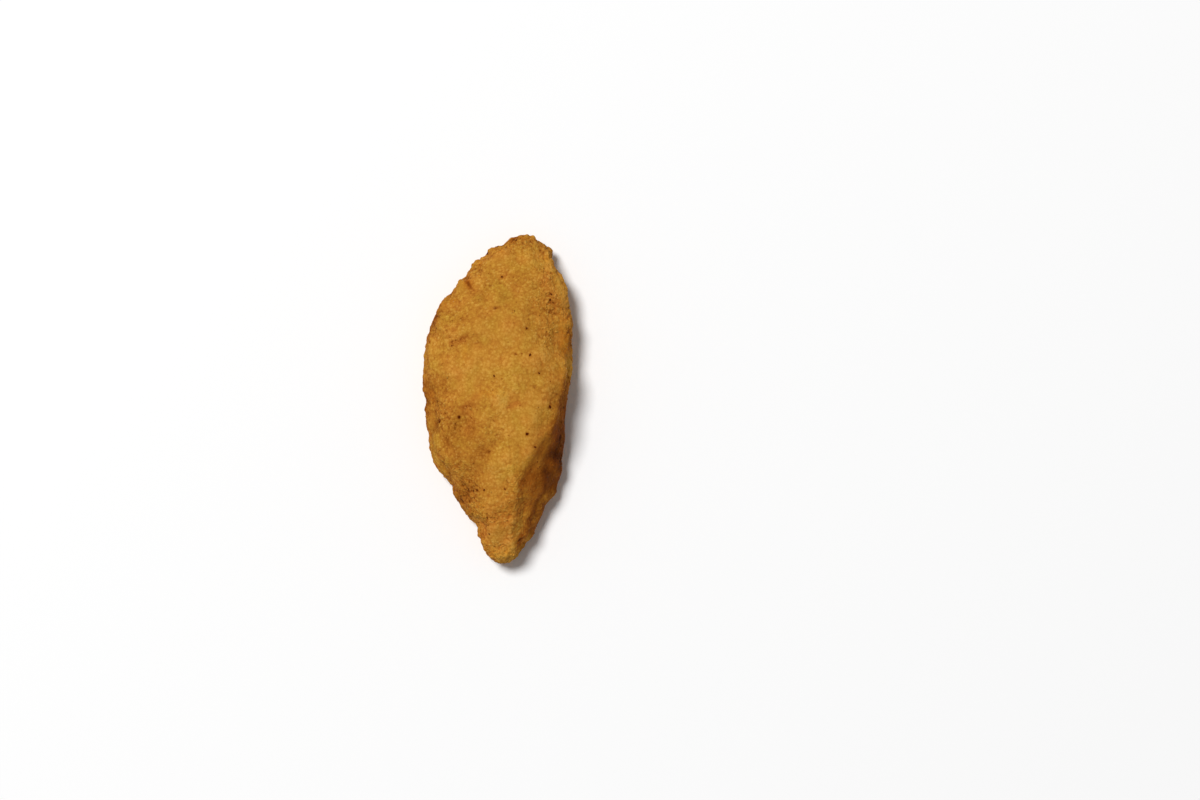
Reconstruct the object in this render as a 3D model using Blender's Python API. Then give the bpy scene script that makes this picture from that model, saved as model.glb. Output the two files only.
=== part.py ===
"""A battered and fried chicken tender: one spindle-shaped strip of breast meat in a bumpy crust.

The strip lies on its flat side. Run it with: blender --background --python part.py
Metres, +Z up. Y runs along the strip, from the narrow tip at -Y to the broad tip at +Y, and X across it.
The origin is on the surface that the strip rests on, under the middle of its bounding box.
"""

import math

import bmesh
import bpy
import numpy as np
from mathutils import Vector, noise

# Driving dimensions of the whole strip
LENGTH = 0.1105
WIDTH = 0.0500
THICKNESS = 0.0255

# Form, at thirteen stations evenly spaced from the narrow tip to the broad tip.
# Places across the strip are shares of half the width, heights are shares of the thickness.
LEFT_EDGE = (-0.08, -0.24, -0.44, -0.65, -0.88, -0.89, -1.01, -1.02, -0.99, -0.89, -0.65, -0.31, -0.04)
RIGHT_EDGE = (0.20, 0.43, 0.62, 0.86, 0.87, 0.92, 0.91, 1.02, 1.02, 1.00, 0.93, 0.79, 0.70)
CREST_PLACE = (0.10, 0.20, 0.23, 0.30, 0.35, 0.39, 0.36, 0.22, 0.12, 0.12, 0.18, 0.25, 0.36)
CREST_HEIGHT = (0.48, 0.62, 0.76, 0.90, 0.99, 1.00, 0.96, 0.92, 0.87, 0.80, 0.70, 0.56, 0.40)
RIM_HEIGHT = (0.22, 0.26, 0.27, 0.27, 0.27, 0.27, 0.27, 0.27, 0.30, 0.34, 0.35, 0.31, 0.24)
UNDERSIDE_LIFT = (0.10, 0.06, 0.02, 0.00, 0.00, 0.00, 0.00, 0.00, 0.00, 0.00, 0.02, 0.06, 0.09)

# How each side falls from the crest to the rim, as powers of a superellipse's two directions:
# a fall of 2 is a sharp ridge, 1 an ellipse, and less a flat face, which a low squareness ends in a shoulder.
LEFT_FALL = (1.00, 1.10, 1.20, 1.15, 1.05, 1.00, 1.00, 1.00, 1.00, 1.00, 1.00, 1.00, 1.00)
RIGHT_FALL = (1.00, 1.40, 1.90, 1.80, 1.35, 1.00, 0.75, 0.62, 0.70, 0.68, 0.62, 0.60, 0.80)
RIGHT_SQUARENESS = (1.00, 1.30, 1.80, 1.80, 1.40, 1.00, 0.85, 0.85, 1.00, 0.85, 0.70, 0.60, 0.80)
UNDERSIDE_FALL = 0.62
NARROW_TIP_ROUNDING = 0.0043
BROAD_TIP_ROUNDING = 0.0036

# The lip where the upper face ends in a steep flank, with a crease below it:
# its angle round the section, its share of the full height, and the two swellings' places and spread round it
LIP_ANGLE = (90, 90, 90, 84, 62, 40, 29, 30, 30, 30, 30, 30, 30)
LIP_SHARE = (0.00, 0.00, 0.00, 0.20, 0.45, 0.65, 0.65, 0.30, 0.00, 0.00, 0.00, 0.00, 0.00)
LIP_HEIGHT = 0.0010
LIP_PLACE = 0.0017
CREASE_PLACE = -0.0025
LIP_SPREAD = 0.0028

# Folds and dents of the upper face: x and y of both ends, width and depth
FOLDS_REACH_DOWN = -0.3
FOLDS = (
    (0.0020, -0.0080, -0.0070, -0.0270, 0.0045, 0.0011),
    (-0.0175, 0.0145, -0.0090, 0.0185, 0.0024, 0.0007),
    (-0.0135, 0.0010, -0.0015, 0.0040, 0.0032, 0.0008),
    (-0.0035, -0.0175, -0.0015, -0.0185, 0.0018, 0.0008),
    (-0.0110, 0.0400, -0.0085, 0.0365, 0.0020, 0.0011),
    (0.0170, 0.0330, 0.0200, 0.0190, 0.0030, 0.0007),
    (-0.0100, -0.0400, -0.0050, -0.0420, 0.0022, 0.0016),
    (0.0065, -0.0430, 0.0085, -0.0490, 0.0018, 0.0010),
    (0.0050, 0.0530, 0.0075, 0.0460, 0.0018, 0.0009),
    (0.0135, 0.0500, 0.0155, 0.0440, 0.0020, 0.0005),
)

# The mesh: cells round the section, rings along the strip, and how evenly the rings are spaced
AROUND = 80
RINGS = 73
RING_EVENNESS = 0.45
SECTION_SAMPLES = 360
RIDGE_SMOOTHING = (0.5, 0.5)
RELIEF_SMOOTHING = (0.3,)

# Relief of the crust: (wavelength, height) of each layer
SWELLS = (0.0240, 0.0012)
LUMPS = (0.0105, 0.0012)
PUCKERS = (0.0055, 0.0011)
LAYER_SHIFT = Vector((7.3, 2.1, 4.7))
FLANK_CALM = (0.00, 0.20, 0.45, 0.60, 0.60, 0.35, 0.10, 0.00, 0.00, 0.00, 0.00, 0.00, 0.00)
RIM_BEADS = (0.0044, 0.0011)
BEAD_SPREAD = 0.60
BEAD_MEAN = 0.60
BEAD_STRETCH = 0.60
BEAD_PATCHES = 0.0160
RIM_BAND = (0.55, 0.95)
CONTACT_SINK = 0.0011

CRUST_COLOUR = (0.47, 0.21, 0.032, 1.0)
CRUST_ROUGHNESS = 0.62


def clear_scene():
    for old in list(bpy.data.objects):
        bpy.data.objects.remove(old, do_unlink=True)


def at_station(table, share):
    """The table's value at a share of the length, on a smooth curve through its entries."""
    place = share * (len(table) - 1)
    i = min(int(place), len(table) - 2)
    f = place - i
    before, start, end, after = (table[min(max(i + k, 0), len(table) - 1)] for k in (-1, 0, 1, 2))
    bend = 3 * (start - end) + after - before
    return start + 0.5 * f * (end - before + f * (2 * before - 5 * start + 4 * end - after + f * bend))


def tip_share(share):
    """What is left of the section near a tip, which is rounded like a ball."""
    depth, rounding = min((share * LENGTH, NARROW_TIP_ROUNDING), ((1 - share) * LENGTH, BROAD_TIP_ROUNDING))
    return math.sqrt(max(0.0, 1 - max(0.0, 1 - depth / rounding) ** 2))


def section_point(share, angle):
    """(x, z) of the smooth strip: share is along the length, and angle is round the section from +X over the top."""
    across, up = math.cos(angle), math.sin(angle)
    half = WIDTH / 2
    left, right = half * at_station(LEFT_EDGE, share), half * at_station(RIGHT_EDGE, share)
    middle = (left + right) / 2
    rim = THICKNESS * at_station(RIM_HEIGHT, share)
    side = 1 if across > 0 else -1
    if up >= 0:
        crest = half * at_station(CREST_PLACE, share)
        fall = at_station(RIGHT_FALL if side > 0 else LEFT_FALL, share)
        squareness = at_station(RIGHT_SQUARENESS, share) if side > 0 else 1.0
        reach = right - crest if side > 0 else crest - left
        x = crest + side * reach * abs(across) ** fall
        z = rim + (THICKNESS * at_station(CREST_HEIGHT, share) - rim) * up**squareness
    else:
        x = middle + side * (right - left) / 2 * abs(across) ** UNDERSIDE_FALL
        z = rim - (rim - THICKNESS * at_station(UNDERSIDE_LIFT, share)) * abs(up) ** UNDERSIDE_FALL
    rounded = tip_share(share)
    return middle + (x - middle) * rounded, rim + (z - rim) * rounded


def section(share):
    """The section at a share of the length, as AROUND evenly spaced rows from the right rim.

    A row is x, z, the angle, and the distance walked round the section since the lip.
    """
    angles = np.linspace(0, 2 * math.pi, SECTION_SAMPLES + 1)
    outline = np.array([section_point(share, angle) for angle in angles])
    walked = np.concatenate(([0], np.cumsum(np.hypot(*np.diff(outline, axis=0).T))))
    past_lip = walked - np.interp(math.radians(at_station(LIP_ANGLE, share)), angles, walked)
    even = np.linspace(0, walked[-1], AROUND, endpoint=False)
    columns = (outline[:, 0], outline[:, 1], angles, past_lip)
    return np.stack([np.interp(even, walked, column) for column in columns], axis=1)


def lip(share, past_lip):
    """The proud edge of the upper face, with a crease below it."""
    edge, crease = (math.exp(-(((past_lip - place) / LIP_SPREAD) ** 2)) for place in (LIP_PLACE, CREASE_PLACE))
    return LIP_HEIGHT * at_station(LIP_SHARE, share) * (edge - crease)


def folds(point):
    """How deep the folds are at a point, each one a soft groove between its two ends."""
    total = 0.0
    for x1, y1, x2, y2, width, depth in FOLDS:
        start, line = Vector((x1, y1)), Vector((x2 - x1, y2 - y1))
        along = max(0.0, min(1.0, (point.xy - start).dot(line) / line.length_squared))
        total += depth * math.exp(-(((point.xy - start - line * along).length / width) ** 2))
    return total


def beads(point):
    """Rounded beads with creases between them, from 0 in a crease to 1 on a bead."""
    nearest = noise.voronoi(point)[0][0]
    return 1 - min(1.0, nearest / BEAD_SPREAD) ** 2


def relief(point, share, angle, past_lip):
    """How far the crust stands out of the smooth strip at a point."""
    height = lip(share, past_lip)
    if math.sin(angle) > FOLDS_REACH_DOWN:
        height -= folds(point)
    # The steep flank is smoother than the rest of the crust
    rough = 1 - at_station(FLANK_CALM, share) * math.sqrt(max(0.0, math.cos(angle)))
    for number, (wavelength, depth) in enumerate((SWELLS, LUMPS, PUCKERS)):
        height += rough * depth * noise.noise(point / wavelength + LAYER_SHIFT * (number + 1))
    low, high = RIM_BAND
    near_tip = 1 - tip_share(share)
    band = min(1.0, max(0.0, (max(abs(math.cos(angle)), near_tip) - low) / (high - low)))
    band *= 1 + noise.noise(point / BEAD_PATCHES)
    wavelength, depth = RIM_BEADS
    stretched = Vector((point.x, point.y, point.z * BEAD_STRETCH)) / wavelength
    return height + depth * band * (beads(stretched) - BEAD_MEAN)


def smooth(bm, factors):
    """Moves each vertex towards its neighbours, in one round for each factor."""
    for factor in factors:
        bmesh.ops.smooth_vert(bm, verts=bm.verts, factor=factor, use_axis_x=True, use_axis_y=True, use_axis_z=True)


def shape_strip(mesh):
    """Moves a ball's rings and columns to the strip's sections, then raises the crust's relief."""
    bm = bmesh.new()
    bmesh.ops.create_uvsphere(bm, u_segments=AROUND, v_segments=RINGS, radius=1.0)
    sections, place_of = {}, {}
    for vert in bm.verts:
        # The ball's poles become the tips
        latitude = math.acos(max(-1.0, min(1.0, -vert.co.z)))
        share = (1 - RING_EVENNESS) * (1 - math.cos(latitude)) / 2 + RING_EVENNESS * latitude / math.pi
        ring = round(latitude / math.pi * RINGS)
        if ring not in sections:
            sections[ring] = section(share)
        longitude = math.atan2(vert.co.y, -vert.co.x) % (2 * math.pi)
        x, z, angle, past_lip = sections[ring][round(longitude / (2 * math.pi) * AROUND) % AROUND]
        vert.co = (x, (share - 0.5) * LENGTH, z)
        place_of[vert] = (share, angle, past_lip)
    smooth(bm, RIDGE_SMOOTHING)
    bmesh.ops.recalc_face_normals(bm, faces=bm.faces)
    bm.normal_update()
    moved = {vert: vert.co + vert.normal * relief(vert.co, *place_of[vert]) for vert in bm.verts}
    for vert, place in moved.items():
        vert.co = place
    smooth(bm, RELIEF_SMOOTHING)
    bm.to_mesh(mesh)
    bm.free()


def rest_on_floor(mesh):
    """Presses the underside flat where it touches, and centres the strip over the origin."""
    floor = min(v.co.z for v in mesh.vertices) + CONTACT_SINK
    for vert in mesh.vertices:
        vert.co.z = max(0.0, vert.co.z - floor)
    middle = [(min(v.co[i] for v in mesh.vertices) + max(v.co[i] for v in mesh.vertices)) / 2 for i in (0, 1)]
    for vert in mesh.vertices:
        vert.co.x -= middle[0]
        vert.co.y -= middle[1]


def crust_material():
    material = bpy.data.materials.new("fried_crust")
    material.use_nodes = True
    shader = material.node_tree.nodes["Principled BSDF"]
    shader.inputs["Base Color"].default_value = CRUST_COLOUR
    shader.inputs["Roughness"].default_value = CRUST_ROUGHNESS
    shader.inputs["Metallic"].default_value = 0.0
    return material


def build_tender():
    mesh = bpy.data.meshes.new("tender")
    shape_strip(mesh)
    rest_on_floor(mesh)
    mesh.materials.append(crust_material())
    mesh.shade_smooth()
    tender = bpy.data.objects.new("tender", mesh)
    collection = bpy.data.collections.new("chicken_tender")
    bpy.context.scene.collection.children.link(collection)
    collection.objects.link(tender)
    return tender


clear_scene()
build_tender()
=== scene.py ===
import math
import random

import bmesh
import bpy
import numpy as np
from mathutils import Matrix, Vector, noise
from mathutils.bvhtree import BVHTree


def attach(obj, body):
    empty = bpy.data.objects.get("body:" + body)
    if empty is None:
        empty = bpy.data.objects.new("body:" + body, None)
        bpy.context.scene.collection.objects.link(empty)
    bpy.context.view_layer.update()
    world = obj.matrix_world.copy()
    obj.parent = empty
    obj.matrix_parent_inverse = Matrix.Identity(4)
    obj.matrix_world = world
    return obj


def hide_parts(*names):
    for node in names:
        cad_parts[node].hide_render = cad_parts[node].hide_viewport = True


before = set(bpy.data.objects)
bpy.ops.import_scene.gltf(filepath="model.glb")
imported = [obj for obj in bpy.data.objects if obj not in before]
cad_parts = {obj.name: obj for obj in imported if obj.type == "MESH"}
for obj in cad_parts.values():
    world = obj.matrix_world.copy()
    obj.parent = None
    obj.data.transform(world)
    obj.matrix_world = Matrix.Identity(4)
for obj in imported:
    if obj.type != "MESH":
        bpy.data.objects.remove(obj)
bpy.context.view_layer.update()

mm = 0.001


# Camera: above the tender, leaning a little towards its narrow end

photoView = {
    "lens": 70.0,
    "sensor": 36.0,
    "elevation": 85.0,
    "frameWidth": 0.400,                    # metres across the picture at the look point
    "lookAt": (0.0341, -0.0005, 0.0080),
    "pixelsWide": 1200,
    "pixelsHigh": 800,
}


def viewAxes():
    tilt = math.radians(photoView["elevation"])
    back = Vector((0.0, -math.cos(tilt), math.sin(tilt)))
    across = Vector((1.0, 0.0, 0.0))
    distance = photoView["frameWidth"] * photoView["lens"] / photoView["sensor"]
    return Vector(photoView["lookAt"]) + back * distance, across, across.cross(-back), back


def pixelRay(column, row):
    eye, across, upward, back = viewAxes()
    pixelSize = photoView["sensor"] / photoView["lens"] / photoView["pixelsWide"]
    right = (column - photoView["pixelsWide"] / 2) * pixelSize
    up = (photoView["pixelsHigh"] / 2 - row) * pixelSize
    return eye, (across * right + upward * up - back).normalized()


def pixelsOf(points):                       # where points of the tender show in the picture
    eye, across, upward, back = viewAxes()
    away = points - np.array(eye)
    depth = -(away @ np.array(back))
    scale = photoView["lens"] / photoView["sensor"] * photoView["pixelsWide"] / depth
    column = photoView["pixelsWide"] / 2 + (away @ np.array(across)) * scale
    row = photoView["pixelsHigh"] / 2 - (away @ np.array(upward)) * scale
    return column, row


def makeCamera():
    eye, _, _, back = viewAxes()
    lensData = bpy.data.cameras.new("photoCamera")
    lensData.lens = photoView["lens"]
    lensData.sensor_width = photoView["sensor"]
    camera = bpy.data.objects.new("photoCamera", lensData)
    camera.location = eye
    camera.rotation_mode = "QUATERNION"
    camera.rotation_quaternion = (-back).to_track_quat("-Z", "Y")
    bpy.context.scene.collection.objects.link(camera)
    bpy.context.scene.camera = camera
    print("camera ready")


# Small helpers

def smoothStep(low, high, value):
    share = np.clip((value - low) / (high - low), 0.0, 1.0)
    return share * share * (3 - 2 * share)


def noiseAt(points, wavelength, shift):
    scaled = points / wavelength + shift
    return np.array([noise.noise(Vector(point)) for point in scaled])


def nearestCell(points, wavelength, shift):  # distance to the nearest cell's middle, and the cell's number
    spread, offset = 7.31, Vector((3.7, 1.9, 5.3))  # these keep the numbers of neighbouring cells apart
    scaled = points / wavelength + shift
    distance, number = np.empty(len(points)), np.empty(len(points))
    for i, point in enumerate(scaled):
        far, middles = noise.voronoi(Vector(point))
        distance[i] = far[0]
        number[i] = noise.cell(middles[0] * spread + offset)
    return distance, number


def pointsOf(mesh, what="co"):
    values = np.empty(len(mesh.vertices) * 3)
    mesh.vertices.foreach_get(what, values)
    return values.reshape(-1, 3)


def linkPiece(name, mesh, material):
    mesh.materials.clear()
    mesh.materials.append(material)
    piece = bpy.data.objects.new(name, mesh)
    bpy.context.scene.collection.objects.link(piece)
    return piece


def paintMesh(mesh, **layers):              # values per vertex that the batter material reads
    for name, values in layers.items():
        layer = mesh.attributes.new(name, "FLOAT", "POINT")
        layer.data.foreach_set("value", np.asarray(values, dtype=np.float32))


# Shader nodes: each helper adds its nodes at x, y and returns what comes out of them

def addNode(tree, kind, x, y, **values):
    node = tree.nodes.new(kind)
    node.location = (x, y)
    for name, value in values.items():
        setattr(node, name, value)
    return node


def feed(tree, socket, value):
    if isinstance(value, bpy.types.NodeSocket):
        tree.links.new(value, socket)
    else:
        socket.default_value = (*value, 1.0) if isinstance(value, tuple) else value


def mathNode(tree, x, y, operation, *values):
    node = addNode(tree, "ShaderNodeMath", x, y, operation=operation)
    for socket, value in zip(node.inputs, values):
        feed(tree, socket, value)
    return node.outputs[0]


def mapRange(tree, x, y, value, fromLow, fromHigh, toLow=0.0, toHigh=1.0):
    node = addNode(tree, "ShaderNodeMapRange", x, y, clamp=True)
    settings = {"Value": value, "From Min": fromLow, "From Max": fromHigh, "To Min": toLow, "To Max": toHigh}
    for name, setting in settings.items():
        feed(tree, node.inputs[name], setting)
    return node.outputs["Result"]


def noiseTexture(tree, x, y, vector, size, detail, roughness):
    node = addNode(tree, "ShaderNodeTexNoise", x, y)
    settings = {"Vector": vector, "Scale": 1 / size, "Detail": detail, "Roughness": roughness}
    for name, setting in settings.items():
        feed(tree, node.inputs[name], setting)
    return node.outputs["Fac"]


def mixColour(tree, x, y, share, first, second, blend="MIX"):
    node = addNode(tree, "ShaderNodeMix", x, y, data_type="RGBA", blend_type=blend)
    for socket, value in ((node.inputs[0], share), (node.inputs[6], first), (node.inputs[7], second)):
        feed(tree, socket, value)
    return node.outputs[2]


def cellTexture(tree, x, y, vector, size):  # distance to the cell's middle, and two random numbers of it
    cells = addNode(tree, "ShaderNodeTexVoronoi", x, y)
    feed(tree, cells.inputs["Vector"], vector)
    cells.inputs["Scale"].default_value = 1 / size
    parts = addNode(tree, "ShaderNodeSeparateColor", x + 200, y - 150)
    feed(tree, parts.inputs[0], cells.outputs["Color"])
    return cells.outputs["Distance"], parts.outputs[0], parts.outputs[1]


def spotTexture(tree, x, y, vector, size, middle, rim, share):  # round spots in some of the cells
    softness = 0.15                         # so that some spots are faint
    distance, number, _ = cellTexture(tree, x, y, vector, size)
    spot = mapRange(tree, x + 400, y, distance, middle, rim, 1.0, 0.0)
    chosen = mapRange(tree, x + 400, y - 150, number, 1 - share, 1 + softness - share)
    return mathNode(tree, x + 600, y, "MULTIPLY", spot, chosen)


def newMaterial(name):
    material = bpy.data.materials.new(name)
    material.use_nodes = True
    tree = material.node_tree
    return material, tree, tree.nodes["Principled BSDF"].inputs


# Fried batter, for the crust and its loose crumbs

batterLooks = {
    # Colours, from the least to the most browned
    "pale": (0.59, 0.295, 0.046),
    "gold": (0.48, 0.209, 0.025),
    "amber": (0.395, 0.146, 0.017),
    "brown": (0.255, 0.076, 0.007),
    "burnt": (0.070, 0.014, 0.001),
    "stops": {"gold": 0.25, "amber": 0.50, "brown": 0.75},  # browning at which each shows
    # pale granule tops: flour, with painted glints
    "flourGlint": (0.66, 0.37, 0.085),
    "orange": (1.12, 0.84, 0.40),           # how orange crumbs and the painted warm shade change the colour below them
    "yellower": (0.95, 1.07, 0.97),         # and how the batter's hue wavers
    "rosier": (1.05, 0.93, 1.03),

    # Size, detail and roughness of each noise
    "blotch": (7.0 * mm, 2.0, 0.6),
    "mottle": (2.2 * mm, 2.0, 0.7),
    "sand": (0.70 * mm, 2.0, 0.7),
    "noiseMiddle": 0.5,

    # Granules, then spots: size of the cells, middle and rim of a spot, share of the cells that have one
    "granuleSize": 0.95 * mm,
    "pit": (1.15 * mm, 0.16, 0.34, 0.50),
    "pepper": (2.4 * mm, 0.06, 0.13, 0.60),
    "pushSize": 1.15 * mm,                  # a noise pushes their outlines about
    "pushReach": 0.8 * mm,

    # How far each changes the browning; the share from hollows is painted shade together with browning
    "strength": {
        "blotch": 0.20, "mottle": 0.40, "sand": 0.70, "shade": 0.20, "gap": 0.16,
        "pepper": 0.40, "hollow": 0.18,
    },

    # Where each sets in: from low, from high, and what they become where it isn't 0 and 1
    "granuleTop": (0.10, 0.42, 1.0, 0.0),
    "gap": (0.38, 0.62),
    "craggy": (0.15, 1.0),
    "crumbliness": (0.0, 1.0, 0.65, 1.35),
    "contrast": (0.35, 0.80, 1.0, 0.35),    # less where the crust is well browned
    "pitted": (0.25, 0.9, 0.0, 0.28),
    "warmer": (-1.0, 1.0),
    "orangeSand": (0.30, 0.62),
    "flourGlintTop": (0.55, 0.75),
    "flouryGlint": (0.0, 1.0, 0.30, 0.60),
    "roughness": (0.30, 0.70, 0.62, 0.85),

    "specular": 0.02,
    "pitHeight": -0.8,                      # beside a granule's height of 1
    "grainHeight": 0.28 * mm,
    "bumpStrength": 0.9,
}


def batterSockets(tree):                    # what the group takes in and gives out
    face = tree.interface
    for name, start in (("Toast", 0.3), ("Crag", 0.3), ("Hollow", 0.0), ("Orange", 0.0), ("Warmth", 0.0)):
        face.new_socket(name, in_out="INPUT", socket_type="NodeSocketFloat").default_value = start
    for name, kind in (("Color", "Color"), ("Roughness", "Float"), ("Height", "Float")):
        face.new_socket(name, in_out="OUTPUT", socket_type="NodeSocket" + kind)
    given = addNode(tree, "NodeGroupInput", -2400, 0).outputs
    result = addNode(tree, "NodeGroupOutput", 1200, 0).inputs
    return given, result


def batterGrain(tree):                      # noises, granules with gaps between them, pits and pepper specks
    place = addNode(tree, "ShaderNodeTexCoord", -2400, -300).outputs["Object"]
    grain = {}
    for name, y in (("blotch", 500), ("mottle", 250), ("sand", 0)):
        grain[name] = noiseTexture(tree, -1300, y, place, *batterLooks[name])

    # Round spots look like crumbs once their outlines are pushed about
    push = addNode(tree, "ShaderNodeTexNoise", -2200, -500)
    feed(tree, push.inputs["Vector"], place)
    push.inputs["Scale"].default_value = 1 / batterLooks["pushSize"]
    pushed = addNode(tree, "ShaderNodeVectorMath", -2000, -500, operation="MULTIPLY_ADD")
    feed(tree, pushed.inputs[0], push.outputs["Color"])
    pushed.inputs[1].default_value = [batterLooks["pushReach"]] * 3
    feed(tree, pushed.inputs[2], place)
    crumbly = pushed.outputs[0]
    granule = cellTexture(tree, -1800, -300, crumbly, batterLooks["granuleSize"])
    fromMiddle, grain["shade"], grain["choice"] = granule
    grain["top"] = mapRange(tree, -1400, -300, fromMiddle, *batterLooks["granuleTop"])
    grain["gap"] = mapRange(tree, -1400, -450, fromMiddle, *batterLooks["gap"])
    grain["pit"] = spotTexture(tree, -1800, -600, crumbly, *batterLooks["pit"])
    grain["pepper"] = spotTexture(tree, -1800, -900, crumbly, *batterLooks["pepper"])
    return grain


def batterBrowning(tree, given, grain, contrast):  # from pale at 0 to burnt at 1
    strength, middle = batterLooks["strength"], batterLooks["noiseMiddle"]
    crumbliness = mapRange(tree, -1000, -1300, given["Crag"], *batterLooks["crumbliness"])
    pitted = mapRange(tree, -1000, -600, given["Crag"], *batterLooks["pitted"])
    darker = mathNode(tree, -1200, 0, "SUBTRACT", middle, grain["sand"])
    change = mathNode(tree, -1000, 0, "MULTIPLY", darker, strength["sand"])
    for name in ("shade", "gap"):
        darker = mathNode(tree, -1000, -150, "SUBTRACT", grain[name], middle)
        change = mathNode(tree, -800, -150, "MULTIPLY_ADD", darker, strength[name], change)
    change = mathNode(tree, -700, 0, "MULTIPLY", change, crumbliness)
    for name, y in (("blotch", 500), ("mottle", 250)):
        darker = mathNode(tree, -1000, y, "SUBTRACT", middle, grain[name])
        change = mathNode(tree, -800, y, "MULTIPLY_ADD", darker, strength[name], change)
    change = mathNode(tree, -600, 0, "MULTIPLY_ADD", given["Hollow"], strength["hollow"], change)
    change = mathNode(tree, -600, 0, "MULTIPLY_ADD", grain["pit"], pitted, change)
    change = mathNode(tree, -600, 0, "MULTIPLY_ADD", grain["pepper"], strength["pepper"], change)
    return mathNode(tree, -500, 0, "MULTIPLY_ADD", change, contrast, given["Toast"])


def batterColour(tree, given, grain, contrast):
    ramp = addNode(tree, "ShaderNodeValToRGB", -400, 200)
    feed(tree, ramp.inputs["Fac"], batterBrowning(tree, given, grain, contrast))
    stops = ramp.color_ramp.elements
    stops[0].color = (*batterLooks["pale"], 1.0)
    stops[1].color = (*batterLooks["burnt"], 1.0)
    for name, position in batterLooks["stops"].items():
        stops.new(position).color = (*batterLooks[name], 1.0)

    # Rosier and yellower places, then orange crumbs and painted warm shade
    warmer = mapRange(tree, -400, 500, given["Warmth"], *batterLooks["warmer"])
    hue = mixColour(tree, -200, 500, warmer, batterLooks["yellower"], batterLooks["rosier"])
    wavering = mixColour(tree, 0, 500, 1.0, ramp.outputs["Color"], hue, "MULTIPLY")
    sandy = mapRange(tree, -600, -200, grain["sand"], *batterLooks["orangeSand"])
    orange = mathNode(tree, -400, -100, "MULTIPLY", given["Orange"], sandy)
    tinted = mixColour(tree, -100, 200, orange, wavering, batterLooks["orange"], "MULTIPLY")

    # Pale granule tops, partly floury and partly painted glints, mostly where the crust is craggy
    chosen = mapRange(tree, -1000, -400, grain["choice"], *batterLooks["flourGlintTop"])
    chosenTop = mathNode(tree, -600, -300, "MULTIPLY", grain["top"], chosen)
    flouryGlint = mapRange(tree, -600, -400, given["Crag"], *batterLooks["flouryGlint"])
    flourGlint = mathNode(tree, -400, -450, "MULTIPLY", flouryGlint, contrast)
    flourGlintTop = mathNode(tree, -400, -300, "MULTIPLY", chosenTop, flourGlint)
    return mixColour(tree, 200, 200, flourGlintTop, tinted, batterLooks["flourGlint"])


def batterHeight(tree, given, grain):
    craggy = mapRange(tree, -1000, -1100, given["Crag"], *batterLooks["craggy"])
    height = mathNode(tree, -200, -400, "MULTIPLY_ADD", grain["top"], craggy, grain["sand"])
    pitHeight = mathNode(tree, -200, -600, "MULTIPLY", craggy, batterLooks["pitHeight"])
    return mathNode(tree, 0, -400, "MULTIPLY_ADD", grain["pit"], pitHeight, height)


def batterGroup():                          # colour, roughness and fine height of fried batter
    tree = bpy.data.node_groups.new("friedBatter", "ShaderNodeTree")
    given, result = batterSockets(tree)
    grain = batterGrain(tree)
    contrast = mapRange(tree, -1200, -1500, given["Toast"], *batterLooks["contrast"])
    feed(tree, result["Color"], batterColour(tree, given, grain, contrast))
    feed(tree, result["Roughness"], mapRange(tree, 0, -100, grain["mottle"], *batterLooks["roughness"]))
    feed(tree, result["Height"], batterHeight(tree, given, grain))
    print("batter ready")
    return tree


def batterMaterial(name, batter):
    material, tree, shader = newMaterial(name)
    skin = addNode(tree, "ShaderNodeGroup", -500, 200, node_tree=batter)
    for place, layer in enumerate(("toast", "crag", "hollow", "orange", "warmth")):
        reader = addNode(tree, "ShaderNodeAttribute", -800, 300 - 200 * place, attribute_name=layer)
        feed(tree, skin.inputs[layer.capitalize()], reader.outputs["Fac"])
    bump = addNode(tree, "ShaderNodeBump", -250, -200)
    bump.inputs["Strength"].default_value = batterLooks["bumpStrength"]
    bump.inputs["Distance"].default_value = batterLooks["grainHeight"]
    feed(tree, bump.inputs["Height"], skin.outputs["Height"])
    feed(tree, shader["Normal"], bump.outputs["Normal"])
    feed(tree, shader["Base Color"], skin.outputs["Color"])
    feed(tree, shader["Roughness"], skin.outputs["Roughness"])
    shader["Specular IOR Level"].default_value = batterLooks["specular"]
    return material


# Crust: the CAD solid made finer, with the relief that its cells are too large for

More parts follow.
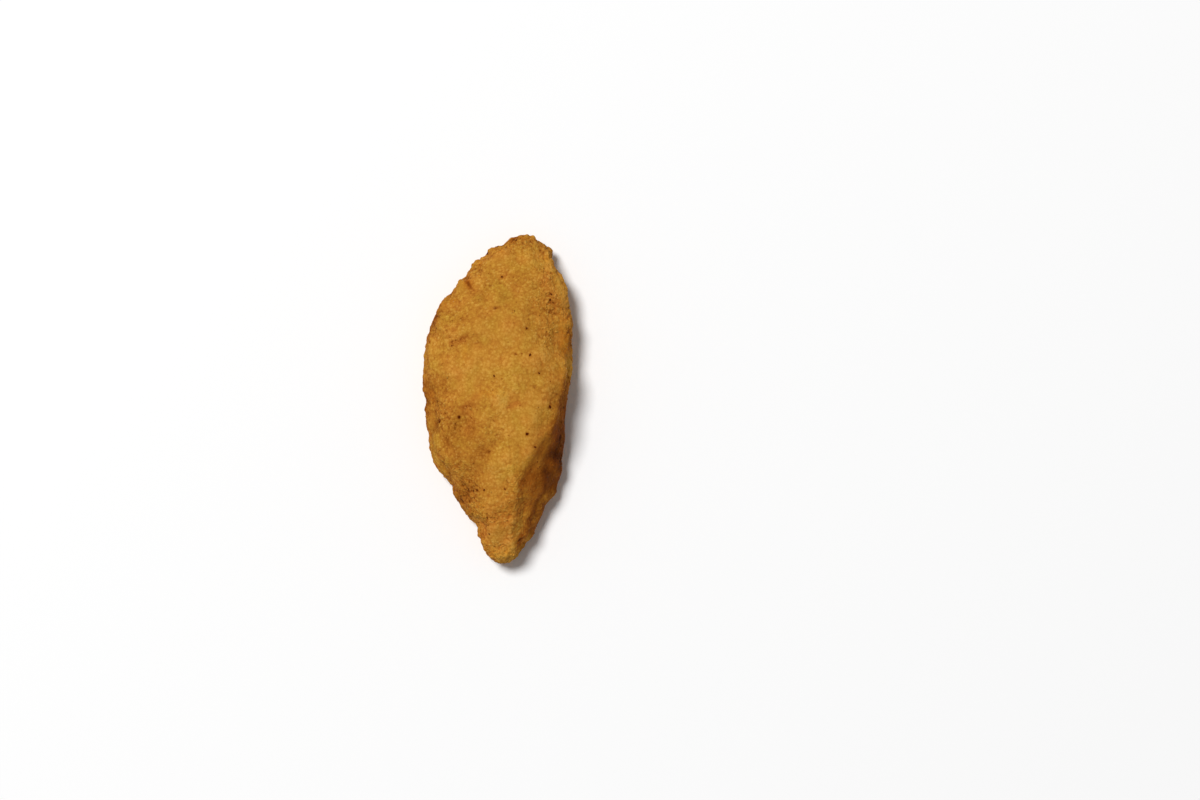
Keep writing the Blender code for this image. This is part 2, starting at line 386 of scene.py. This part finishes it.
crustShape = {
    "subdivisions": 2,
    "weldWithin": 0.02 * mm,
    "quadAngle": 70.0,                      # degrees that two triangles may differ by and become a quad

    # Relief: wavelength, height and shift of each noise
    "lumps": (5.0 * mm, 0.256 * mm, 2.3),
    "creases": (2.6 * mm, 0.26 * mm, 6.1),
    "pebbles": (2.0 * mm, 0.40 * mm, 4.4),
    "granules": (1.25 * mm, 0.26 * mm, 9.2),
    "grain": (0.95 * mm, 0.09 * mm, 7.7),
    "creaseProfile": (3.2, 0.6),            # steepness, and the share of the height that is cut in
    "pebbleDome": (0.55, 2.0),              # height of the middle, and how flat the top is
    "granuleDome": (0.5, 1.5),
    "calmCreases": 0.2,                     # what is left of each where the crust isn't craggy
    "calmGranules": 0.2,
    "calmGrain": 0.5,
    "mostOut": 0.65 * mm,
    "mostIn": 0.85 * mm,

    # How far up, level or right a normal points, where each share starts and where it is full
    "facingUp": (-0.1, 0.25),               # what the photo shows of the upper side
    "facingOut": (0.25, 0.75),              # touches to the outline
    "sideways": (0.55, 0.95),
    "rim": (0.80, 0.98),
    "flankFacing": (0.45, 0.95),

    # The steep flank right of the ridge, which is browned and warmed as painted shade: where it begins along
    # the tender, and where and how far it fades
    "flankStart": (9 * mm, -10 * mm),
    "flankFade": (-20 * mm, -40 * mm, 0.35),
    "flankWaver": 6 * mm,
    "patchy": (11 * mm, 5.1),               # wavelength and shift

    # Crags and browning everywhere, and with each of those shares; on the flank that browning is painted
    # shade, on the sides and rim it is partly browning and partly painted edge shade
    "crag": 0.25,
    "cragParts": {"sideways": 0.30, "patchy": 0.5, "flank": -0.5},
    "mostCrag": 1.2,
    "rimCrags": 0.45,                       # for the relief only
    "mostRelief": 1.3,
    "toast": 0.24,
    "toastParts": {"sideways": 0.07, "rim": 0.08, "flank": 0.42, "patchy": 0.05},
    # painted warm shade on the flank, as orange
    "flankOrange": 0.55,
    "hollows": ((8, 0.10 * mm, 0.7), (60, 0.35 * mm, 0.25)),  # rounds of smoothing, depth and strength
    "hollowLimits": (-1.0, 1.5),
    "patchBreakup": (3.0 * mm, 8.8, 0.4),   # wavelength, shift and strength
    "hueWaver": (4.0 * mm, 12.6, 0.9),

    # Burnt specks, and the random ones on the sides, which the photo doesn't show
    "speckRadius": 0.56 * mm,
    "speckDepth": 0.14 * mm,
    "speckToast": 0.70,
    "randomSpecks": 60,
    "randomStrength": (0.25, 1.0),
    "randomFacing": 0.35,                   # their normals point up less than this
    "randomLowest": 1.5 * mm,
    "seed": 5,
}

# Outline touches: column and row on the rim, reach in pixels, and how far it goes outward in mm
rimTouches = (
    (511, 238, 6, 1.10), (517, 236, 4, 0.30), (520, 235, 4, 0.35), (528, 234, 4, 0.65),
    (533, 237, 3, 0.60), (541, 242, 5, -0.35), (502, 243, 6, -1.00), (495, 247, 4, -0.35),
    (489, 249, 4, 1.00), (484, 256, 4, -0.15), (478, 259, 4, -0.35), (472, 264, 3, 0.40),
    (466, 271, 5, -0.70), (462, 276, 4, -0.70), (467, 276, 3, -0.60), (455, 285, 5, -0.45),
    (449, 293, 8, -1.00), (551, 252, 5, 0.60), (555, 266, 4, -0.80), (560, 271, 4, -0.95),
    (566, 281, 6, -1.05), (570, 300, 8, -0.95), (475, 525, 6, -1.45), (465, 515, 4, 0.60),
    (477, 533, 3, -0.30), (481, 542, 3, 0.90), (484, 550, 6, 1.00), (492, 558, 4, 0.35),
    (513, 562, 4, -0.30), (450, 487, 6, -0.55), (543, 511, 6, 0.40), (536, 530, 5, 0.50),
    (531, 539, 4, -0.25), (525, 547, 3, 0.35), (519, 555, 4, -0.45),
)

# Browned and crumbly patches; some are painted shade, darker on the right rim and the flank, and some painted
# light, paler at the tip where its surface turns from the lamp: column and row, half sizes, turn in degrees,
# browning and crumbliness
crustPatches = (
    (478, 300, 44, 36, 0, 0.11, 0.1), (462, 324, 12, 10, 0, 0.05, 0.1), (478, 266, 9, 5, 35, 0.02, 0.6),
    (454, 300, 7, 5, 0, 0.02, 0.4), (459, 341, 14, 5, 25, 0.08, 0.4), (434, 386, 11, 15, 0, 0.24, 0.1),
    (440, 312, 14, 14, 0, 0.05, 0.1), (478, 390, 30, 6, 0, 0.07, 0.2), (461, 388, 7, 6, 0, -0.12, 0.0),
    (466, 406, 28, 7, 0, 0.16, 0.2), (470, 426, 10, 12, 0, 0.07, 0.1), (500, 404, 12, 8, 0, -0.22, 0.0),
    (480, 398, 14, 4, 0, 0.10, 0.0), (520, 404, 10, 4, 0, 0.10, 0.1), (426, 393, 5, 14, 0, 0.28, 0.1),
    (433, 325, 5, 20, -22, 0.26, 0.1), (427, 415, 4, 14, 0, 0.20, 0.1), (433, 428, 7, 20, 0, 0.03, -0.2),
    (458, 434, 28, 26, -10, 0.31, 0.2), (436, 449, 7, 16, 0, -0.14, 0.1), (487, 450, 9, 9, 20, 0.13, 0.1),
    (480, 460, 11, 8, 0, 0.20, 0.1), (459, 467, 9, 5, 0, 0.08, 0.5), (550, 306, 13, 15, 0, 0.06, 0.5),
    (538, 300, 8, 8, 0, 0.05, 0.2), (521, 281, 8, 8, 0, 0.20, 0.1), (517, 312, 7, 6, 0, 0.10, 0.2),
    (547, 333, 6, 8, 20, 0.02, 0.4), (566, 301, 6, 16, 0, -0.42, 0.3), (555, 302, 7, 8, 0, 0.09, 0.0),
    (570, 341, 5, 9, 0, 0.30, 0.0), (568, 366, 6, 11, 0, -0.50, 0.1), (506, 397, 8, 7, 0, -0.15, 0.0),
    (539, 419, 6, 7, 0, -0.09, 0.0), (546, 430, 4, 7, -20, 0.16, 0.0), (559, 416, 3, 9, -10, -0.18, 0.0),
    (524, 480, 5, 10, -30, 0.05, 0.0), (491, 540, 6, 6, 0, -0.08, 0.0), (481, 537, 4, 6, 0, 0.20, 0.0),
    (477, 520, 5, 5, 0, -0.30, 0.3), (542, 445, 4, 6, -35, -0.10, 0.0), (451, 451, 7, 6, 0, 0.06, 0.0),
    (472, 459, 12, 6, 0, 0.10, 0.0), (518, 246, 6, 7, 0, 0.12, 0.0), (546, 351, 8, 7, 0, -0.14, 0.0),
    (550, 395, 6, 8, 0, -0.12, 0.0), (564, 393, 4, 17, -8, 0.16, 0.0), (522, 243, 22, 9, 0, 0.05, 1.1),
    (500, 251, 8, 4, 20, 0.05, 0.5), (543, 251, 7, 7, 0, 0.18, 0.3), (549, 261, 8, 12, 0, -0.24, 0.6),
    (560, 283, 7, 14, -20, -0.14, 0.2), (549, 278, 9, 7, 0, 0.14, 0.5), (556, 380, 6, 9, 0, 0.09, 0.0),
    (446, 361, 18, 7, 0, 0.08, 0.0), (468, 494, 11, 18, -28, 0.27, 1.0), (456, 498, 7, 13, -28, 0.15, 0.4),
    (486, 520, 13, 7, 0, 0.05, 0.8), (497, 549, 13, 9, 0, -0.07, 1.2), (512, 556, 9, 5, -30, -0.30, 0.8),
    (503, 562, 10, 4, 0, -0.20, 0.3), (526, 543, 7, 8, 0, -0.20, 0.3), (519, 514, 5, 17, -8, -0.28, 0.1),
    (510, 500, 6, 14, -8, 0.08, 0.1), (503, 519, 8, 8, 0, 0.12, 0.2), (509, 536, 7, 6, 0, -0.08, 0.2),
    (551, 462, 13, 30, -12, 0.24, -0.2), (532, 478, 13, 10, -35, 0.27, -0.1),
    (536, 505, 8, 14, -20, 0.10, -0.1), (525, 466, 6, 9, -25, -0.13, 0.0), (516, 551, 6, 7, 25, -0.42, 0.4),
    (519, 480, 6, 8, 0, 0.04, 0.5), (500, 330, 24, 26, 0, -0.02, -0.25), (525, 415, 14, 20, 20, -0.03, -0.15),
    (503, 465, 10, 34, 10, -0.05, 0.1),
)

# Short creases and wrinkles, whose browning is partly painted shade in the crease: column and row, half
# length and width, turn in degrees, browning, depth in mm
crustCreases = (
    (514, 242, 4, 1.3, 35, 0.44, 0.22), (523, 243, 3, 1.4, 90, 0.34, 0.22),
    (531, 242, 3, 1.4, -20, 0.34, 0.20), (541, 251, 7, 1.8, -52, 0.16, 0.12),
    (468, 283, 6, 2.2, -62, 0.50, 0.25), (497, 308, 4, 1.3, 5, 0.24, 0.15),
    (549, 312, 5, 1.6, -20, 0.34, 0.20), (552, 303, 3, 1.5, 10, 0.20, 0.15),
    (516, 354, 5, 1.2, 0, 0.16, 0.12), (452, 343, 4, 2.4, 30, 0.13, 0.12),
    (461, 339, 4, 2.2, 25, 0.14, 0.12), (468, 337, 5, 1.8, 0, 0.12, 0.12),
    (441, 312, 7, 1.4, 0, 0.18, 0.15), (521, 538, 8, 2.4, 65, 0.40, 0.25),
    (525, 328, 3, 1.6, 10, 0.12, 0.12), (459, 466, 4, 1.6, 0, 0.16, 0.15),
    (544, 398, 4, 1.4, 40, 0.14, 0.12), (446, 390, 4, 1.6, 70, 0.16, 0.15),
    (471, 487, 4, 1.6, -30, 0.20, 0.20), (463, 502, 5, 1.5, -45, 0.18, 0.18),
    (486, 519, 5, 1.5, -10, 0.08, 0.12), (549, 441, 4, 17, -25, -0.12, -0.35),
    (513, 405, 9, 2.4, 24, 0.14, 0.12), (534, 386, 4, 1.3, -15, 0.14, 0.12),
    (547, 335, 5, 1.6, -60, 0.18, 0.15), (524, 317, 3, 1.6, 70, 0.14, 0.12),
    (478, 343, 4, 1.3, 10, 0.10, 0.12),
)

# Orange crumbs, and painted warm shade on the right rim and flank: column and row, half sizes and strength
orangeCrumbsAndWarmShade = (
    (478, 263, 7, 4, 0.4), (469, 269, 3, 4, 0.5), (499, 250, 6, 3, 0.6), (512, 242, 4, 4, 0.4),
    (527, 239, 6, 2, 0.6), (547, 259, 3, 4, 0.7), (452, 299, 6, 4, 0.5), (444, 304, 4, 3, 0.5),
    (467, 284, 5, 5, 0.6), (437, 467, 5, 3, 0.9), (447, 472, 4, 3, 0.6), (458, 494, 4, 6, 0.7),
    (492, 393, 14, 4, 0.45), (465, 352, 3, 9, 0.4), (563, 309, 3, 10, 0.5), (493, 553, 5, 4, 0.6),
    (507, 553, 7, 4, 0.6), (468, 515, 4, 3, 0.5), (531, 492, 20, 36, 0.6), (431, 398, 5, 10, 0.4),
    (557, 430, 7, 22, 0.8), (565, 345, 7, 55, 0.8), (523, 536, 5, 8, 0.7),
)

# Where the batter is yellower, below 0, or rosier, above 0: column and row, half sizes, turn and strength
crustHues = (
    (503, 290, 7, 20, 28, -0.8), (480, 300, 10, 10, 0, -0.4), (452, 318, 16, 6, 0, -0.5),
    (520, 268, 12, 9, 0, -0.5), (514, 385, 24, 11, 0, -0.5), (517, 416, 9, 12, 0, -0.5),
    (506, 443, 8, 7, 0, -0.7), (455, 441, 18, 7, 0, -0.5), (434, 428, 4, 14, 0, -0.2),
    (510, 471, 10, 8, 0, -0.5), (476, 397, 12, 4, 0, 0.4), (518, 405, 9, 4, 0, 0.5),
    (537, 438, 6, 16, -35, 0.5), (508, 508, 20, 24, 0, 0.7), (523, 536, 6, 8, 0, 1.0),
    (562, 335, 10, 50, 0, 0.4), (548, 300, 9, 12, 0, 0.5), (546, 277, 6, 5, 0, 0.8),
    (554, 385, 9, 20, 0, 0.4), (486, 528, 9, 9, 0, 0.8), (519, 275, 7, 6, 0, 0.6),
    (504, 545, 10, 7, 0, 0.6), (513, 406, 9, 4, 24, 0.9), (456, 372, 8, 7, 0, 0.6),
    (436, 316, 5, 10, 0, 0.5), (505, 343, 14, 12, 0, -0.4), (459, 341, 14, 5, 25, 0.7),
    (544, 427, 5, 8, -20, 0.8), (432, 323, 5, 8, 0, 0.4), (452, 379, 8, 6, 0, 0.4),
    (498, 397, 6, 5, 0, 0.3), (526, 455, 5, 6, 0, 0.4), (491, 522, 7, 5, 0, 0.4),
    (502, 539, 10, 8, 0, 0.5), (514, 303, 6, 6, 0, -0.4), (513, 284, 5, 5, 0, -0.4),
    (487, 304, 7, 6, 0, -0.3), (485, 341, 7, 6, 0, -0.3), (458, 358, 6, 6, 0, -0.4),
    (506, 443, 6, 6, 0, -0.4), (471, 440, 6, 6, 0, -0.3), (437, 405, 5, 6, 0, -0.3),
    (563, 366, 5, 8, 0, -0.4), (518, 370, 6, 6, 0, -0.3), (539, 470, 5, 8, -20, -0.3),
    (460, 317, 7, 5, 0, -0.3),
)

# Burnt specks: column, row and strength
burntSpecks = (
    (550, 407, 1.0), (527, 434, 1.0), (459, 417, 0.95), (440, 421, 1.0), (550, 300, 0.8), (535, 447, 0.75),
    (530, 355, 0.65), (527, 328, 0.7), (551, 294, 0.6), (517, 241, 0.7), (469, 490, 0.58), (477, 490, 0.65),
    (505, 489, 0.6), (484, 490, 0.65), (502, 277, 0.6), (495, 308, 0.55), (494, 376, 0.6), (539, 373, 0.6),
    (489, 534, 0.65), (489, 452, 0.35), (460, 469, 0.4), (535, 387, 0.4), (516, 355, 0.4), (521, 356, 0.35),
    (466, 422, 0.3), (446, 469, 0.4), (448, 440, 0.3), (472, 404, 0.3), (544, 352, 0.3), (501, 494, 0.3),
)


def fineCopy(node):                         # the node's mesh as quads, subdivided
    mesh = node.data.copy()
    angle = math.radians(crustShape["quadAngle"])
    bm = bmesh.new()
    bm.from_mesh(mesh)
    bmesh.ops.remove_doubles(bm, verts=bm.verts, dist=crustShape["weldWithin"])
    bmesh.ops.join_triangles(bm, faces=bm.faces, angle_face_threshold=angle, angle_shape_threshold=angle)
    bm.to_mesh(mesh)
    bm.free()
    rough = bpy.data.objects.new("roughCopy", mesh)
    bpy.context.scene.collection.objects.link(rough)
    finer = rough.modifiers.new("finer", "SUBSURF")
    finer.levels = finer.render_levels = crustShape["subdivisions"]
    fine = bpy.data.meshes.new_from_object(rough.evaluated_get(bpy.context.evaluated_depsgraph_get()))
    bpy.data.objects.remove(rough)
    bpy.data.meshes.remove(mesh)
    print("crust copy has", len(fine.vertices), "vertices")
    return fine


def touchRim(points, normals, columns, rows):
    outward = normals * (1.0, 1.0, 0.0)
    level = np.linalg.norm(outward, axis=1)
    outward /= np.maximum(level, 1e-6)[:, None]
    amount = np.zeros(len(points))
    for column, row, reach, shift in rimTouches:
        away = (columns - column) ** 2 + (rows - row) ** 2
        amount += shift * mm * np.exp(-away / reach**2)
    return points + outward * (amount * smoothStep(*crustShape["facingOut"], level))[:, None]


def patchWeight(columns, rows, column, row, halfWide, halfHigh, turn=0.0):
    cosine, sine = math.cos(math.radians(turn)), math.sin(math.radians(turn))
    right, down = columns - column, rows - row
    along = (right * cosine - down * sine) / halfWide
    beside = (right * sine + down * cosine) / halfHigh
    return np.exp(-(along**2 + beside**2))


def seenMarks(points, normals, columns, rows):  # what the photo shows at certain places of the upper side
    facingUp = smoothStep(*crustShape["facingUp"], normals[:, 2])
    wavelength, shift, breakup = crustShape["patchBreakup"]
    broken = 1 + breakup * noiseAt(points, wavelength, shift)
    seen = {name: np.zeros(len(points)) for name in ("toast", "crag", "dent", "orange", "warmth")}
    # Patch and crease browning is partly painted shade and painted light, and orange is partly painted warm
    # shade
    for *place, brown, crumbly in crustPatches:
        weight = patchWeight(columns, rows, *place) * facingUp
        seen["toast"] += brown * weight * broken
        seen["crag"] += crumbly * weight
    for *place, brown, depth in crustCreases:
        weight = patchWeight(columns, rows, *place) * facingUp
        seen["toast"] += brown * weight
        seen["dent"] += depth * mm * weight
    for *place, strength in orangeCrumbsAndWarmShade:
        weight = patchWeight(columns, rows, *place) * facingUp
        seen["orange"] = np.maximum(seen["orange"], strength * weight)
    for *place, strength in crustHues:
        seen["warmth"] += strength * patchWeight(columns, rows, *place) * facingUp
    return seen


def crustShares(points, normals):           # how far each point is on a side, the rim, the flank where painted shade goes, a patch
    level = np.hypot(normals[:, 0], normals[:, 1])
    patchy = noiseAt(points, *crustShape["patchy"])
    along = points[:, 1] + crustShape["flankWaver"] * patchy
    facing = smoothStep(*crustShape["flankFacing"], normals[:, 0])
    start, end, fade = crustShape["flankFade"]
    flank = facing * smoothStep(*crustShape["flankStart"], along) * (1 - fade * smoothStep(start, end, along))
    sideways, rim = (smoothStep(*crustShape[name], level) for name in ("sideways", "rim"))
    return {"sideways": sideways, "rim": rim, "flank": flank, "patchy": patchy}


def partsOf(shares, strengths):
    return sum(strength * shares[name] for name, strength in strengths.items())


def domed(distance, height, flatness):      # a cell's rounded top
    return height - np.minimum(distance, 1.0) ** flatness


def reliefHeights(points, crag):
    wavelength, depth, shift = crustShape["lumps"]
    height = depth * noiseAt(points, wavelength, shift)

    wavelength, depth, shift = crustShape["creases"]
    steepness, cutIn = crustShape["creaseProfile"]
    profile = np.minimum(np.abs(noiseAt(points, wavelength, shift)) * steepness, 1.0) - cutIn
    calm = crustShape["calmCreases"]
    height += depth * profile * (calm + (1 - calm) * crag)

    wavelength, depth, shift = crustShape["pebbles"]
    distance, _ = nearestCell(points, wavelength, shift)
    height += depth * crag * domed(distance, *crustShape["pebbleDome"])

    wavelength, depth, shift = crustShape["granules"]
    distance, number = nearestCell(points, wavelength, shift)
    granules = np.abs(number) * domed(distance, *crustShape["granuleDome"])
    height += depth * (crustShape["calmGranules"] + crag) * granules

    wavelength, depth, shift = crustShape["grain"]
    height += depth * (crustShape["calmGrain"] + crag) * noiseAt(points, wavelength, shift)
    return np.clip(height, -crustShape["mostIn"], crustShape["mostOut"])


def speckPlaces(mesh, points, normals):
    tree = BVHTree.FromPolygons([Vector(p) for p in points], [p.vertices[:] for p in mesh.polygons])
    places = []
    for column, row, strength in burntSpecks:
        place, _, _, _ = tree.ray_cast(*pixelRay(column, row))
        if place is not None:
            places.append((np.array(place), strength))
    onSides = (normals[:, 2] < crustShape["randomFacing"]) & (points[:, 2] > crustShape["randomLowest"])
    choices = np.flatnonzero(onSides)
    draw = random.Random(crustShape["seed"])
    low, high = crustShape["randomStrength"]
    for _ in range(crustShape["randomSpecks"]):
        chosen = choices[draw.randrange(len(choices))]
        places.append((points[chosen], low + (high - low) * draw.random() ** 2))
    return places


def speckShare(points, specks):
    share = np.zeros(len(points))
    for place, strength in specks:
        away = ((points - place) ** 2).sum(axis=1)
        share += strength * np.exp(-away / crustShape["speckRadius"] ** 2)
    return share


def smoothed(points, edges, rounds):        # each round goes half way to the mean of a point's neighbours
    first, second = edges[0::2], edges[1::2]
    count = np.bincount(edges, minlength=len(points))[:, None]
    for _ in range(rounds):
        total = np.zeros_like(points)
        for axis in range(3):
            total[:, axis] += np.bincount(first, points[second, axis], minlength=len(points))
            total[:, axis] += np.bincount(second, points[first, axis], minlength=len(points))
        points = 0.5 * points + 0.5 * total / count
    return points


def hollowness(mesh, points):               # how far each point lies below its smoothed surroundings
    normals = pointsOf(mesh, "normal")
    edges = np.empty(len(mesh.edges) * 2, dtype=np.int64)
    mesh.edges.foreach_get("vertices", edges)
    hollow = np.zeros(len(points))
    for rounds, depth, strength in crustShape["hollows"]:
        sunk = np.einsum("ij,ij->i", smoothed(points, edges, rounds) - points, normals)
        hollow += strength * np.clip(sunk / depth, *crustShape["hollowLimits"])
    return hollow


def makeCrust(material):
    mesh = fineCopy(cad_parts["tender"])
    points, normals = pointsOf(mesh), pointsOf(mesh, "normal")
    columns, rows = pixelsOf(points)
    points = touchRim(points, normals, columns, rows)
    seen = seenMarks(points, normals, columns, rows)
    shares = crustShares(points, normals)
    specks = speckPlaces(mesh, points, normals)
    inSpecks = speckShare(points, specks)

    crag = crustShape["crag"] + seen["crag"] + partsOf(shares, crustShape["cragParts"])
    crag = np.clip(crag, 0.0, crustShape["mostCrag"])
    rimCrags = crustShape["rimCrags"] * shares["rim"] * (1 - shares["flank"])
    height = reliefHeights(points, np.minimum(crag + rimCrags, crustShape["mostRelief"]))
    height -= seen["dent"] + crustShape["speckDepth"] * inSpecks
    shaped = points + normals * height[:, None]
    shaped[:, 2] = np.maximum(shaped[:, 2], 0.0)
    mesh.vertices.foreach_set("co", shaped.ravel())
    mesh.update()

    # Browning with painted shade: darker on the flank, in the hollows, towards the sides and rim and in some
    # patches; other patches are painted light, paler where the form turns from the lamp; the flank's orange
    # is painted warm shade
    toast = crustShape["toast"] + seen["toast"] + crustShape["speckToast"] * inSpecks
    wavelength, shift, waver = crustShape["hueWaver"]
    paintMesh(
        mesh,
        toast=toast + partsOf(shares, crustShape["toastParts"]),
        crag=crag,
        hollow=hollowness(mesh, shaped),
        orange=np.maximum(seen["orange"], crustShape["flankOrange"] * shares["flank"]),
        warmth=seen["warmth"] + waver * noiseAt(points, wavelength, shift),
    )
    mesh.shade_smooth()
    crust = linkPiece("friedCrust", mesh, material)
    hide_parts("tender")
    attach(crust, "root")
    print("crust shaped, heights", round(height.min() / mm, 2), "to", round(height.max() / mm, 2), "mm")
    return crust, specks


# Lumps: small bumpy balls, flattened and turned, for flakes and crumbs

lumpShape = {
    "subdivisions": 2,
    "bumpsPerRadius": 1.2,
    "noiseSpread": 50.0,                    # how far apart in the noise the lumps take their bumps
}


def addLump(bm, centre, normal, radius, stretch, bumpiness, draw):
    verts = bmesh.ops.create_icosphere(bm, subdivisions=lumpShape["subdivisions"], radius=radius)["verts"]
    spread = lumpShape["noiseSpread"]
    shift = Vector([draw.uniform(-spread, spread) for _ in range(3)])
    upright = normal.to_track_quat("Z", "Y").to_matrix().to_4x4()
    turn = upright @ Matrix.Rotation(draw.uniform(0, math.tau), 4, "Z")
    for vert in verts:
        bumpy = 1 + bumpiness * noise.noise(vert.co / radius * lumpShape["bumpsPerRadius"] + shift)
        vert.co = centre + turn @ (vert.co * bumpy * stretch)


def lumpMesh(bm, name):
    mesh = bpy.data.meshes.new(name)
    bm.to_mesh(mesh)
    bm.free()
    points = pointsOf(mesh)
    points[:, 2] = np.maximum(points[:, 2], 0.0)
    mesh.vertices.foreach_set("co", points.ravel())
    mesh.shade_smooth()
    return mesh, points


# Burnt flakes in the strongest specks

flakeShape = {
    "radius": (0.06 * mm, 0.43 * mm),
    "weakest": 0.6,                         # specks weaker than this have no flake
    "stretch": ((1.1, 1.7), (0.7, 1.0)),
    "flatness": 0.45,
    "bumpiness": 0.9,
    "seed": 11,
    "dark": (0.055, 0.004, 0.0),
    "light": (0.125, 0.020, 0.001),
    "patch": (0.6 * mm, 2.0, 0.6),          # size, detail and roughness of the noise that mixes the two
    "patchEdge": (0.38, 0.62),
    "roughness": 0.7,
    "specular": 0.02,
}


def flakeMaterial():
    material, tree, shader = newMaterial("burntFlake")
    place = addNode(tree, "ShaderNodeTexCoord", -900, 0).outputs["Object"]
    patch = noiseTexture(tree, -700, 0, place, *flakeShape["patch"])
    shade = mapRange(tree, -500, 0, patch, *flakeShape["patchEdge"])
    colour = mixColour(tree, -300, 100, shade, flakeShape["dark"], flakeShape["light"])
    feed(tree, shader["Base Color"], colour)
    shader["Roughness"].default_value = flakeShape["roughness"]
    shader["Specular IOR Level"].default_value = flakeShape["specular"]
    return material


def makeFlakes(crust, specks, material):
    bm = bmesh.new()
    tree = BVHTree.FromObject(crust, bpy.context.evaluated_depsgraph_get())
    draw = random.Random(flakeShape["seed"])
    low, high = flakeShape["radius"]
    strongest = [(place, strength) for place, strength in specks if strength >= flakeShape["weakest"]]
    for place, strength in strongest:
        on, upward, _, _ = tree.find_nearest(Vector(place))
        length, width = (draw.uniform(*limits) for limits in flakeShape["stretch"])
        stretch = Vector((length, width, flakeShape["flatness"]))
        addLump(bm, on, upward, low + (high - low) * strength, stretch, flakeShape["bumpiness"], draw)
    mesh, _ = lumpMesh(bm, "burntFlakes")
    flakes = linkPiece("burntFlakes", mesh, material)
    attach(flakes, "root")
    print("burnt flakes", len(strongest))


# Loose crumbs of batter stuck in the crust, most of them on its sides

crumbShape = {
    "radius": (0.22 * mm, 0.62 * mm),
    "smallness": 2.2,                       # the higher, the more of them are small
    "stretch": ((0.8, 1.4), (0.75, 1.1), (0.5, 0.8)),
    "bumpiness": 0.8,
    "sunk": 0.2,                            # how far the middle lies in the crust, in radii
    "count": 420,
    "lowest": 1.2 * mm,
    "anywhere": 0.15,                       # how many stick to a place, and how many more to the sides
    "onSides": 2.0,
    "sideways": (0.5, 0.9),
    "crag": 0.6,
    "toastWaver": (4 * mm, 3.3, 0.20),      # wavelength, shift and strength
    "orangeNoise": (6 * mm, 1.7),
    "orangeEdge": (0.1, 0.5),
    "orange": 0.7,
    "seed": 23,
}


def surfacePicker(mesh, draw, weightOf):    # random places on a mesh, more where weightOf is high
    totals = np.cumsum([polygon.area * weightOf(polygon) for polygon in mesh.polygons])

    def pick():
        polygon = mesh.polygons[int(np.searchsorted(totals, draw.random() * totals[-1]))]
        return Vector(polygon.center), Vector(polygon.normal), polygon.vertices[0]
    return pick


def crumbWeight(polygon):
    if polygon.center.z < crumbShape["lowest"]:
        return 0.0
    level = math.hypot(polygon.normal.x, polygon.normal.y)
    return crumbShape["anywhere"] + crumbShape["onSides"] * float(smoothStep(*crumbShape["sideways"], level))


def makeCrumbs(crust, material):
    bm = bmesh.new()
    draw = random.Random(crumbShape["seed"])
    pick = surfacePicker(crust.data, draw, crumbWeight)
    low, high = crumbShape["radius"]
    crustToastShade = np.empty(len(crust.data.vertices), dtype=np.float32)
    crust.data.attributes["toast"].data.foreach_get("value", crustToastShade)
    below = []                              # how brown the crust is under each crumb, its painted shade included
    for _ in range(crumbShape["count"]):
        on, normal, corner = pick()
        below.append(crustToastShade[corner])
        radius = low + (high - low) * draw.random() ** crumbShape["smallness"]
        stretch = Vector([draw.uniform(*limits) for limits in crumbShape["stretch"]])
        centre = on - normal * radius * crumbShape["sunk"]
        addLump(bm, centre, normal, radius, stretch, crumbShape["bumpiness"], draw)
    mesh, points = lumpMesh(bm, "crustCrumbs")
    wavelength, shift, waver = crumbShape["toastWaver"]
    toast = np.repeat(below, len(points) // len(below)) + waver * noiseAt(points, wavelength, shift)
    orange = smoothStep(*crumbShape["orangeEdge"], noiseAt(points, *crumbShape["orangeNoise"]))
    plain = np.zeros(len(points))
    crag = plain + crumbShape["crag"]
    paintMesh(mesh, toast=toast, crag=crag, hollow=plain, orange=orange * crumbShape["orange"], warmth=plain)
    crumbs = linkPiece("crustCrumbs", mesh, material)
    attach(crumbs, "root")
    print("crumbs", crumbShape["count"])


# Floor and light

studio = {
    "floorColour": (0.97, 0.97, 0.97),
    "floorSize": 12.0,
    "floorRoughness": 0.8,
    "floorSpecular": 0.2,
    "keyPlace": (-1.62, 1.40, 4.74),
    "keySize": 1.80,
    "keyPower": 246.0,
    "skyColour": (1.0, 1.0, 1.0),
    "skyStrength": 0.20,
}


def makeFloor():
    half = studio["floorSize"] / 2
    corners = [(-half, -half, 0), (half, -half, 0), (half, half, 0), (-half, half, 0)]
    mesh = bpy.data.meshes.new("paleFloor")
    mesh.from_pydata(corners, [], [(0, 1, 2, 3)])
    material, tree, shader = newMaterial("paleFloor")
    feed(tree, shader["Base Color"], studio["floorColour"])
    shader["Roughness"].default_value = studio["floorRoughness"]
    shader["Specular IOR Level"].default_value = studio["floorSpecular"]
    linkPiece("paleFloor", mesh, material)
    print("floor ready")


def makeLight():
    scene = bpy.context.scene
    scene.view_settings.view_transform = "Standard"
    scene.world = bpy.data.worlds.new("paleRoom")
    scene.world.use_nodes = True
    sky = scene.world.node_tree.nodes["Background"].inputs
    feed(scene.world.node_tree, sky["Color"], studio["skyColour"])
    sky["Strength"].default_value = studio["skyStrength"]

    light = bpy.data.lights.new("keyLight", "AREA")
    light.shape = "DISK"
    light.size = studio["keySize"]
    light.energy = studio["keyPower"]
    key = bpy.data.objects.new("keyLight", light)
    key.location = studio["keyPlace"]
    key.rotation_mode = "QUATERNION"
    key.rotation_quaternion = (-Vector(studio["keyPlace"])).to_track_quat("-Z", "Y")
    scene.collection.objects.link(key)
    print("light ready")


batter = batterGroup()
crust, specks = makeCrust(batterMaterial("friedCrust", batter))
makeFlakes(crust, specks, flakeMaterial())
makeCrumbs(crust, batterMaterial("looseCrumb", batter))
makeFloor()
makeLight()
makeCamera()
